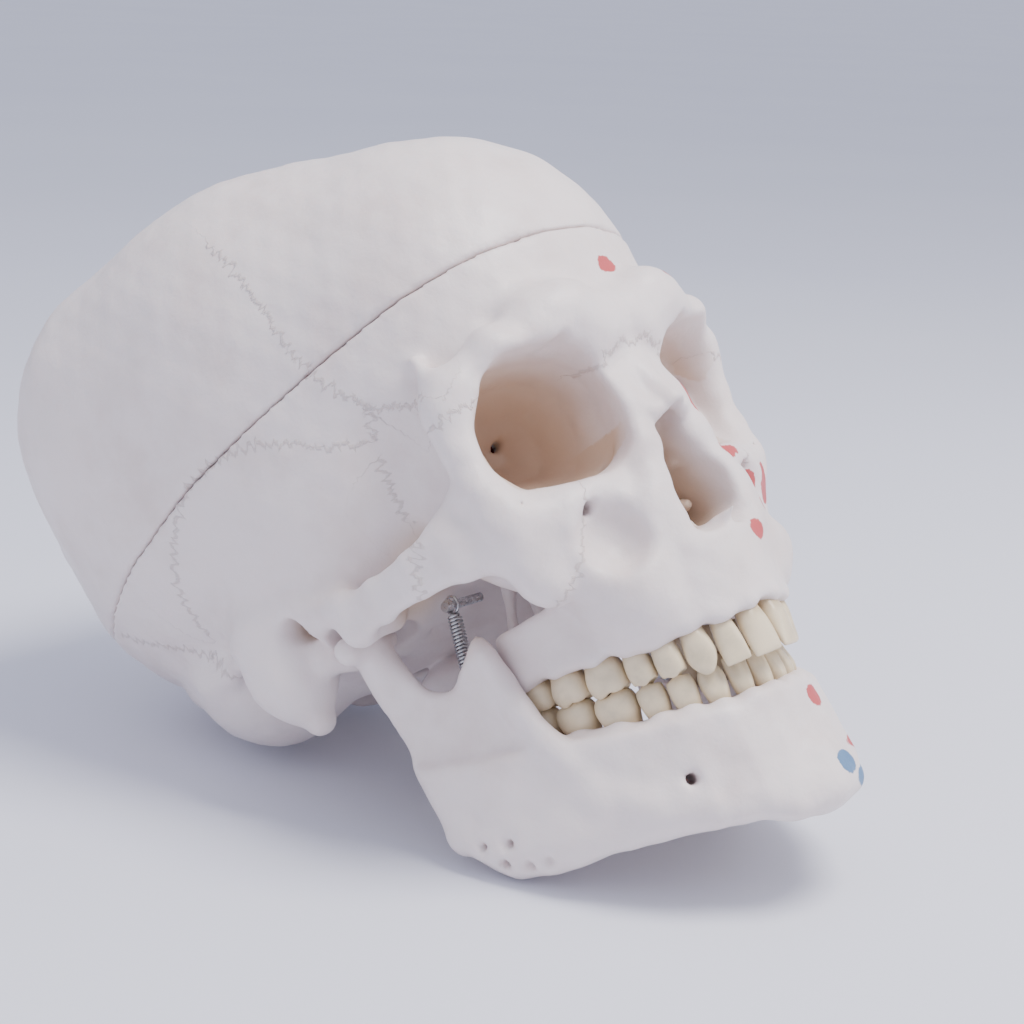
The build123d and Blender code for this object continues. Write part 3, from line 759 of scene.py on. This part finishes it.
def wire_mesh(name, points, radius, around=8):
    """A round wire along points, in millimetres."""
    p = np.array(points, dtype=float)
    tangent = np.gradient(p, axis=0)
    tangent /= np.linalg.norm(tangent, axis=1)[:, None]
    normal = np.cross(tangent[0], [0.3, 0.2, 0.9])
    normal /= np.linalg.norm(normal)
    rings = []
    for spot, heading in zip(p, tangent):
        normal = normal - heading * (normal @ heading)
        normal /= np.linalg.norm(normal)
        other = np.cross(heading, normal)
        angle = np.linspace(0, 2 * math.pi, around, endpoint=False)
        rings.append(spot + radius * (np.cos(angle)[:, None] * normal + np.sin(angle)[:, None] * other))
    cloud = np.concatenate(rings + [p[:1], p[-1:]])
    ends = len(p) * around
    mesh = new_mesh(name, to_table(cloud), ring_faces(len(p), around, ends, ends + 1))
    mesh.validate()
    return new_piece(mesh)


SPRING_TOP = (33.5, -30.0, -11.0)
SPRING_FOOT = (37.6, -25.0, -45.0)
EYE_R = 2.2
EYE_STEPS = 25
EYE_SWEEP = 320.0
EYE_TO_COIL = 0.6
COIL_R = 1.55
COIL_STEPS = 14
WIRE_R = 0.42
PITCH = WIRE_R * 2.12
PIN_R = 1.2
PIN_BELOW = 7.0
PIN_STEP = 0.6
PIN_RINGS = 20
PIN_SPOTS = ((0.0, -86.2), (-40.0, 86.0), (40.0, 86.0))


def on_side(spot, side):
    """A left spot, or with side -1 its mirror image on the right."""
    return np.array([side * spot[0], spot[1], spot[2]])


def jaw_spring(name, side):
    """A close-wound tension spring: an eye, the coil, and the other eye."""
    top, foot = on_side(SPRING_TOP, side), on_side(SPRING_FOOT, side)
    down = (foot - top) / np.linalg.norm(foot - top)
    across = np.cross(down, [1, 0, 0])
    across /= np.linalg.norm(across)
    third = np.cross(down, across)

    def eye(middle, first):
        angles = [math.radians(first + EYE_SWEEP * k / EYE_STEPS) for k in range(EYE_STEPS + 1)]
        return [middle + EYE_R * (math.cos(angle) * down + math.sin(angle) * across) for angle in angles]

    route = eye(top, 20)
    start = top + down * (EYE_R + EYE_TO_COIL)
    run = np.linalg.norm(foot - top) - 2 * (EYE_R + EYE_TO_COIL)
    count = int(run / PITCH) * COIL_STEPS
    for k in range(count):
        angle = 2 * math.pi * k / COIL_STEPS
        coil = COIL_R * (math.cos(angle) * across + math.sin(angle) * third)
        route.append(start + down * (run * k / count) + coil)
    return wire_mesh(name, route + eye(foot, 160), WIRE_R)


# ---- surface data for the materials

# Sutures of the left half, in Frankfort millimetres
CORONAL = [(0, -18, 116), (8, -17, 116), (22, -14, 114), (34, -8, 110), (38, -4, 107), (43, -12, 101),
           (52, -25, 92), (58, -36, 76), (61, -41, 64), (61, -46, 52), (56, -54, 37)]
SPHENOID = [(56, -54, 37), (52, -62, 34), (50, -70, 29)]
SPHENOID_LOW = [(56, -54, 37), (56, -50, 24), (53, -47, 10), (48, -44, -4)]
SQUAMOSAL = [(56, -50, 30), (61, -40, 34), (66, -22, 44), (69, -2, 46), (68, 16, 38), (65, 30, 24),
             (60, 36, 12)]
LAMBDOID = [(0, 82, 68), (16, 82, 60), (34, 76, 46), (48, 66, 30), (56, 54, 16), (57, 44, 6)]
OCCIPITOMASTOID = [(57, 44, 6), (54, 34, -4), (48, 28, -14)]
SAGITTAL = [(0, -18, 116), (0, 10, 119), (0, 40, 112), (0, 66, 92), (0, 82, 68)]
NASOFRONTAL = [(0, -90, 29), (6, -88, 29), (11, -85, 26), (13, -81, 24)]
ZYGOMATICOMAXILLARY = [(31, -80, -2), (33, -79, -10), (38, -75, -20), (42, -68, -25)]
ZYGOMATICOFRONTAL = [(47, -76, 26), (52, -72, 25), (54, -66, 24)]
ZYGOMATICOTEMPORAL = [(57, -52, 5), (59, -49, -2), (58, -46, -9)]
SUTURES = [CORONAL, SPHENOID, SPHENOID_LOW, SQUAMOSAL, LAMBDOID, OCCIPITOMASTOID, SAGITTAL, NASOFRONTAL,
           ZYGOMATICOMAXILLARY, ZYGOMATICOFRONTAL, ZYGOMATICOTEMPORAL]


def to_frankfort(mesh):
    """The mesh's points back in Frankfort millimetres."""
    flat = np.empty(len(mesh.vertices) * 3)
    mesh.vertices.foreach_get("co", flat)
    p = flat.reshape(-1, 3) / MM
    c, s = math.cos(TIP_BACK), math.sin(TIP_BACK)
    y, z = p[:, 1] - TABLE_SHIFT, p[:, 2] - TABLE_DROP
    return np.stack([p[:, 0], y * c - z * s, y * s + z * c], -1)


NO_SUTURE = 99.0
SUTURE_REACH = 12.0
SUTURE_DEPTH = 7.0
HEAD_CENTRE = np.array([0.0, 8.0, 45.0])


def suture_values(p):
    """Signed distance to the nearest suture, mirrored to the right half too, and how far along it."""
    q = p.copy()
    q[:, 0] = np.abs(q[:, 0])
    best = np.full(len(q), NO_SUTURE)
    signed = np.full(len(q), NO_SUTURE)
    along = np.zeros(len(q))
    offset = 0.0
    for line in SUTURES:
        path = smooth_curve(line, 6, closed=False)
        near = np.all((q > path.min(0) - SUTURE_REACH) & (q < path.max(0) + SUTURE_REACH), axis=1)
        index = np.nonzero(near)[0]
        if len(index) == 0:
            continue
        r = q[index]
        for a, b in zip(path[:-1], path[1:]):
            ab = b - a
            length = np.linalg.norm(ab)
            t = np.clip(((r - a) @ ab) / length ** 2, 0, 1)
            gap = r - (a + t[:, None] * ab)
            outward = (a + b) / 2 - HEAD_CENTRE
            side_way = np.cross(ab / length, outward)
            side_way /= np.linalg.norm(side_way)
            outward /= np.linalg.norm(outward)
            lateral = gap @ side_way
            rise = gap @ outward
            end = np.linalg.norm(gap - lateral[:, None] * side_way - rise[:, None] * outward, axis=1)
            too_deep = np.maximum(np.abs(rise) - SUTURE_DEPTH, 0) * 3
            d = np.sqrt(lateral ** 2 + end ** 2 + too_deep ** 2)
            better = d < best[index]
            hit = index[better]
            best[hit] = d[better]
            distance = np.where(end > 0.8, d, np.abs(lateral)) * np.sign(lateral)
            signed[hit] = distance[better]
            along[hit] = offset + t[better] * length
            offset += length
        offset += 37.0
    return signed, along


def put_attribute(mesh, name, values):
    layer = mesh.attributes.new(name, "FLOAT", "POINT")
    layer.data.foreach_set("value", np.asarray(values, dtype=np.float32))


# Muscle areas on the painted left half: centre, radii, in Frankfort millimetres
RED_AREAS = [((24, -91, 44), (5, 7, 2.0)), ((8, -90, 51), (3.6, 7, 2.6)), ((20, -90, -4), (8.5, 7, 2.6)),
             ((34, -80, -12), (3, 8, 3.4)), ((43, -76, -12), (5.5, 7, 6)), ((24, -92, -20), (3.6, 8, 3)),
             ((11, -96, -27), (4.0, 6, 3.0)), ((36, -72, -36), (9, 9, 2.6)), ((12, -90, 12), (2.0, 6, 7.0)),
             ((57, -52, -8), (6, 12, 3.4)), ((60, -32, -9), (6, 12, 3.0)), ((62, -6, 44), (16, 34, 34)),
             ((22, -84, -84), (8, 7, 2.4)), ((36, -60, -66), (3.0, 16, 2.6)), ((9, -92, -70), (3.6, 7, 3.2)),
             ((47, 66, 14), (13, 14, 3.4)), ((22, 84, 10), (12, 8, 3.0))]
BLUE_AREAS = [((6, -92, -88), (5.5, 6, 3.2)), ((50, -26, -62), (7, 11, 14)), ((43, -39, -30), (5, 4.5, 10)),
              ((56, 15, -16), (9, 7, 9)), ((16, -88, -93), (7, 7, 3.0)), ((30, 66, -8), (14, 9, 3.0)),
              ((14, 56, -20), (9, 8, 4.0))]
UNPAINTED = -9.0


def area_values(p, areas):
    """How far inside the nearest painted area each point is: positive inside, in millimetres."""
    best = np.full(len(p), UNPAINTED)
    for centre, radii in areas:
        norm = np.sqrt((((p - np.array(centre)) / np.array(radii)) ** 2).sum(1))
        best = np.maximum(best, (1 - norm) * min(radii))
    best[p[:, 0] < 0.6] = UNPAINTED
    return best


def hollow_glow_shade_values(p):
    """Mask of painted light: 1 deep inside the eye sockets, nose and skull, 0 on the outside; the bone there
    gets a painted warm glow and shade.
    """
    q = np.abs(p[:, 0])
    orbit = orbit_shape(q, p[:, 1], p[:, 2])
    deep = np.clip((p[:, 1] + 84) / 26, 0, 1) * (orbit < 2.2)
    nose = (q < 13) & (p[:, 2] > -23) & (p[:, 2] < 10) & (p[:, 1] < -40)
    deep = np.maximum(deep, nose * np.clip((p[:, 1] + 92) / 14, 0, 1))
    temple = 1 - np.sqrt(((q - 40) / 14) ** 2 + ((p[:, 1] + 34) / 26) ** 2 + ((p[:, 2] + 6) / 26) ** 2)
    ear_canal = 1 - np.sqrt(((q - 50) / 10) ** 2 + (p[:, 1] / 6) ** 2 + (p[:, 2] / 6) ** 2)
    return np.clip(np.maximum(np.maximum(deep, temple * 1.3), ear_canal * 1.5), 0, 1)


def add_surface_data(piece, sutures):
    p = to_frankfort(piece.data)
    if sutures:
        signed, along = suture_values(p)
    else:
        signed, along = np.full(len(p), NO_SUTURE), np.zeros(len(p))
    put_attribute(piece.data, "suture", signed)
    put_attribute(piece.data, "suture_run", along)
    put_attribute(piece.data, "red", area_values(p, RED_AREAS))
    put_attribute(piece.data, "blue", area_values(p, BLUE_AREAS))
    # mask for the painted glow and shade in the hollows
    put_attribute(piece.data, "hollow_glow_shade", hollow_glow_shade_values(p))


# ---- materials

class Nodes:
    """Small helper for building a procedural node tree."""

    def __init__(self, name):
        self.material = bpy.data.materials.new(name)
        self.material.use_nodes = True
        self.tree = self.material.node_tree
        self.shader = self.tree.nodes["Principled BSDF"]

    def add(self, kind, **settings):
        node = self.tree.nodes.new(kind)
        for key, value in settings.items():
            setattr(node, key, value)
        return node

    def link(self, source, target):
        self.tree.links.new(source, target)

    def value(self, source, target):
        """Sets a socket, or feeds another node's output into it."""
        if isinstance(source, (int, float, tuple)):
            target.default_value = source
        else:
            self.link(source, target)

    def shade(self, sources):
        """Sets or feeds the shader's sockets, by name."""
        for name, source in sources.items():
            self.value(source, self.shader.inputs[name])
        return self.material

    def math(self, operation, a, b=0.0):
        node = self.add("ShaderNodeMath", operation=operation)
        self.value(a, node.inputs[0])
        self.value(b, node.inputs[1])
        return node.outputs[0]

    def attribute(self, name):
        return self.add("ShaderNodeAttribute", attribute_name=name).outputs["Fac"]

    def noise(self, scale, detail=4.0, roughness=0.5, stretch=None):
        where = self.add("ShaderNodeTexCoord").outputs["Object"]
        if stretch:
            mapping = self.add("ShaderNodeMapping")
            mapping.inputs["Scale"].default_value = stretch
            self.link(where, mapping.inputs["Vector"])
            where = mapping.outputs["Vector"]
        node = self.add("ShaderNodeTexNoise")
        self.link(where, node.inputs["Vector"])
        node.inputs["Scale"].default_value = scale
        node.inputs["Detail"].default_value = detail
        node.inputs["Roughness"].default_value = roughness
        return node.outputs["Fac"]

    def ramp(self, source, low, high, to_low=0.0, to_high=1.0):
        node = self.add("ShaderNodeMapRange", clamp=True, interpolation_type="SMOOTHSTEP")
        self.value(source, node.inputs["Value"])
        node.inputs["From Min"].default_value = low
        node.inputs["From Max"].default_value = high
        node.inputs["To Min"].default_value = to_low
        node.inputs["To Max"].default_value = to_high
        return node.outputs["Result"]

    def blend_color(self, share, first, second):
        node = self.add("ShaderNodeMix", data_type="RGBA")
        self.value(share, node.inputs["Factor"])
        for color, socket in ((first, node.inputs["A"]), (second, node.inputs["B"])):
            self.value((*color, 1.0) if isinstance(color, tuple) else color, socket)
        return node.outputs["Result"]

    def bump(self, height, strength, distance, before=None):
        node = self.add("ShaderNodeBump")
        node.inputs["Strength"].default_value = strength
        node.inputs["Distance"].default_value = distance
        self.link(height, node.inputs["Height"])
        if before is not None:
            self.link(before, node.inputs["Normal"])
        return node.outputs["Normal"]


BONE_LIGHT = (0.80, 0.715, 0.70)
BONE_SHADE = (0.72, 0.62, 0.60)
# painted light: warm, darker tone of glow and shade in the hollows
HOLLOW_GLOW_SHADE = (0.64, 0.47, 0.33)
SUTURE_BROWN = (0.40, 0.31, 0.27)
PAINT_RED = (0.50, 0.030, 0.035)
PAINT_BLUE = (0.045, 0.16, 0.33)
TOOTH_IVORY = (0.74, 0.62, 0.43)
TOOTH_SHADE = (0.62, 0.52, 0.36)
TOOTH_NECK = (0.50, 0.38, 0.23)
STEEL_GREY = (0.56, 0.57, 0.58)
STEEL_DARK = (0.46, 0.46, 0.47)
BOARD_DARK = (0.70, 0.71, 0.80)
BOARD_LIGHT = (0.76, 0.77, 0.85)


def bone_material():
    nodes = Nodes("bone_plastic")
    mottle = nodes.noise(38, 5, 0.6)
    color = nodes.blend_color(nodes.ramp(mottle, 0.42, 0.75), BONE_LIGHT, BONE_SHADE)
    # Painted light: the hollows are painted warmer and darker, a glow and shade of light bleeding through
    # the plastic.
    hollow_glow_shade = nodes.attribute("hollow_glow_shade")
    color = nodes.blend_color(nodes.ramp(hollow_glow_shade, 0.0, 0.9, 0.0, 0.85), color, HOLLOW_GLOW_SHADE)

    run = nodes.attribute("suture_run")
    wander = nodes.add("ShaderNodeTexNoise", noise_dimensions="1D")
    nodes.link(nodes.math("MULTIPLY", run, 0.42), wander.inputs["W"])
    wander.inputs["Scale"].default_value = 1.0
    wander.inputs["Detail"].default_value = 4.0
    wander.inputs["Roughness"].default_value = 0.65
    shift = nodes.math("MULTIPLY", nodes.math("SUBTRACT", wander.outputs["Fac"], 0.5), 6.5)
    teeth = nodes.math("MULTIPLY", nodes.math("SINE", nodes.math("MULTIPLY", run, 2.1)), 0.55)
    offset = nodes.math("ADD", nodes.attribute("suture"), nodes.math("ADD", shift, teeth))
    gap = nodes.math("ABSOLUTE", offset)
    groove = nodes.ramp(gap, 0.15, 0.75, 1.0, 0.0)
    color = nodes.blend_color(nodes.math("MULTIPLY", groove, 0.30), color, SUTURE_BROWN)

    ragged = nodes.math("MULTIPLY", nodes.math("SUBTRACT", nodes.noise(240, 3, 0.7), 0.5), 2.2)
    red = nodes.ramp(nodes.math("ADD", nodes.attribute("red"), ragged), -0.15, 0.25)
    blue = nodes.ramp(nodes.math("ADD", nodes.attribute("blue"), ragged), -0.15, 0.25)
    color = nodes.blend_color(nodes.math("MULTIPLY", red, 0.92), color, PAINT_RED)
    color = nodes.blend_color(nodes.math("MULTIPLY", blue, 0.92), color, PAINT_BLUE)

    grain = nodes.noise(700, 4, 0.6)
    lumps = nodes.noise(130, 4, 0.55)
    normal = nodes.bump(lumps, 0.35, 0.0012)
    normal = nodes.bump(grain, 0.16, 0.0004, normal)
    normal = nodes.bump(nodes.math("SUBTRACT", 1.0, groove), 0.55, 0.0006, normal)
    return nodes.shade({"Base Color": color, "Normal": normal,
                        "Roughness": nodes.ramp(mottle, 0.3, 0.8, 0.40, 0.55),
                        "Specular IOR Level": 0.42, "Subsurface Weight": 0.12,
                        "Subsurface Radius": (1.0, 0.6, 0.45), "Subsurface Scale": 0.0025})


def tooth_material():
    nodes = Nodes("tooth_plastic")
    crown = nodes.attribute("crown")
    cloud = nodes.noise(150, 4, 0.6)
    color = nodes.blend_color(nodes.ramp(cloud, 0.4, 0.72), TOOTH_IVORY, TOOTH_SHADE)
    color = nodes.blend_color(nodes.ramp(crown, -0.05, 0.28, 0.85, 0.0), color, TOOTH_NECK)
    ridges = nodes.noise(260, 3, 0.5, (1.0, 1.0, 0.25))
    return nodes.shade({"Base Color": color, "Normal": nodes.bump(ridges, 0.12, 0.0005), "Roughness": 0.30,
                        "Specular IOR Level": 0.5, "Subsurface Weight": 0.12,
                        "Subsurface Radius": (1.0, 0.8, 0.5), "Subsurface Scale": 0.0012})


def steel_material():
    nodes = Nodes("steel")
    streaks = nodes.noise(900, 3, 0.5)
    return nodes.shade({"Roughness": nodes.ramp(streaks, 0.3, 0.7, 0.22, 0.38), "Metallic": 1.0,
                        "Base Color": nodes.blend_color(streaks, STEEL_GREY, STEEL_DARK),
                        "Normal": nodes.bump(streaks, 0.08, 0.0001)})


def floor_material():
    nodes = Nodes("pale_board")
    cloud = nodes.noise(3.0, 3, 0.5)
    return nodes.shade({"Base Color": nodes.blend_color(cloud, BOARD_DARK, BOARD_LIGHT), "Roughness": 0.6,
                        "Normal": nodes.bump(nodes.noise(500, 3, 0.5), 0.05, 0.0003)})


def wear(piece, material):
    piece.data.materials.clear()
    piece.data.materials.append(material)


# ---- build

bone = bone_material()
tooth = tooth_material()
steel = steel_material()

cranium_field, base_values, cap_values = cranium_fields()
skull_base = mesh_from_field("skull_base", cranium_field, base_values)
skull_cap = mesh_from_field("skull_cap", cranium_field, cap_values)
jaw_field, jaw_values = mandible_field()
jaw_bone = mesh_from_field("jaw_bone", jaw_field, jaw_values)
for piece, node, body in ((skull_base, "cranial_base", "cranium"), (skull_cap, "calvaria", "calvaria"),
                          (jaw_bone, "mandible", "mandible")):
    add_surface_data(piece, sutures=body != "mandible")
    evened = piece.modifiers.new("evened", "SMOOTH")
    evened.factor = 0.5
    evened.iterations = 3
    wear(piece, bone)
    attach(piece, body)
    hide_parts(node)

for row, body, arch, gum, sizes in (("upper", "cranium", UPPER_ARCH, UPPER_GUM, UPPER_SIZES),
                                    ("lower", "mandible", LOWER_ARCH, LOWER_GUM, LOWER_SIZES)):
    stations = tooth_stations(arch, gum, sizes)
    for hand, side in (("left", 1), ("right", -1)):
        for number, kind in enumerate(TOOTH_KINDS):
            node = f"{row}_{hand}_{kind}"
            crown = tooth_piece(node + "_crown", row == "upper", number, side, stations[number])
            wear(crown, tooth)
            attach(crown, body)
            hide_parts(node)

for hand, side in (("left", 1), ("right", -1)):
    spring = jaw_spring(f"{hand}_spring_wire", side)
    wear(spring, steel)
    top, foot = to_table(on_side(SPRING_TOP, side)), to_table(on_side(SPRING_FOOT, side))
    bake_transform(spring)
    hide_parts(f"{hand}_jaw_spring")

slope = math.atan(CUT_RISE)
up = np.array([0.0, -math.sin(slope), math.cos(slope)])
pin_points, pin_faces = [], []
for x, y in PIN_SPOTS:
    seat = np.array([x, y, cut_height(y)])
    route = [seat + up * (PIN_STEP * k - PIN_BELOW) for k in range(PIN_RINGS)]
    rod = wire_mesh("pin_rod", route, PIN_R, 20)
    pin_faces += [[i + len(pin_points) for i in face.vertices] for face in rod.data.polygons]
    pin_points += [tuple(vertex.co) for vertex in rod.data.vertices]
    bpy.data.objects.remove(rod)
cap_pins = new_piece(new_mesh("cap_pins", pin_points, pin_faces))
wear(cap_pins, steel)
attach(cap_pins, "cranium")
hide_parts("cap_locating_pins")

for node in ("spring_anchor_screws_upper", "spring_anchor_screws_lower"):
    wear(bpy.data.objects[node], steel)


# ---- studio

FLOOR_SIZE = 120
MIDDLE = Vector((0.0, 0.0, 0.085))
CAMERA_ROLL = math.radians(1.95)

bpy.ops.mesh.primitive_plane_add(size=FLOOR_SIZE, location=(0, 0, 0))
floor = bpy.context.object
floor.name = "backdrop_floor"
wear(floor, floor_material())

world = bpy.data.worlds.new("studio_air")
bpy.context.scene.world = world
world.use_nodes = True
backdrop = world.node_tree.nodes["Background"]
backdrop.inputs["Color"].default_value = (0.80, 0.83, 1.0, 1)
backdrop.inputs["Strength"].default_value = 1.0

def soft_light(name, where, size, power, color):
    """A round lamp that looks at the middle of the skull."""
    data = bpy.data.lights.new(name, "AREA")
    data.shape = "DISK"
    data.size = size
    data.energy = power
    data.color = color
    lamp = bpy.data.objects.new(name, data)
    lamp.location = where
    lamp.rotation_euler = (MIDDLE - Vector(where)).to_track_quat("-Z", "Y").to_euler()
    bpy.context.scene.collection.objects.link(lamp)


soft_light("key_light", (0.10, -0.40, 1.05), 0.5, 14.0, (1.0, 0.97, 0.95))
soft_light("fill_light", (-0.9, 0.2, 0.5), 0.8, 1.5, (0.9, 0.93, 1.0))
soft_light("face_light", (0.55, -0.7, 0.45), 0.7, 3.5, (1.0, 0.98, 0.96))

camera_data = bpy.data.cameras.new("photo_camera")
camera_data.lens = 77.8
camera_data.sensor_width = 36.0
camera_data.clip_start = 0.01
camera_data.dof.use_dof = False
camera = bpy.data.objects.new("photo_camera", camera_data)
camera.location = (-0.4340, -0.3938, 0.2275)
level_look = Vector((0.7362, 0.6279, -0.2525)).to_track_quat("-Z", "Y")
camera.rotation_euler = (level_look @ Quaternion((0, 0, 1), CAMERA_ROLL)).to_euler()
bpy.context.scene.collection.objects.link(camera)
bpy.context.scene.camera = camera
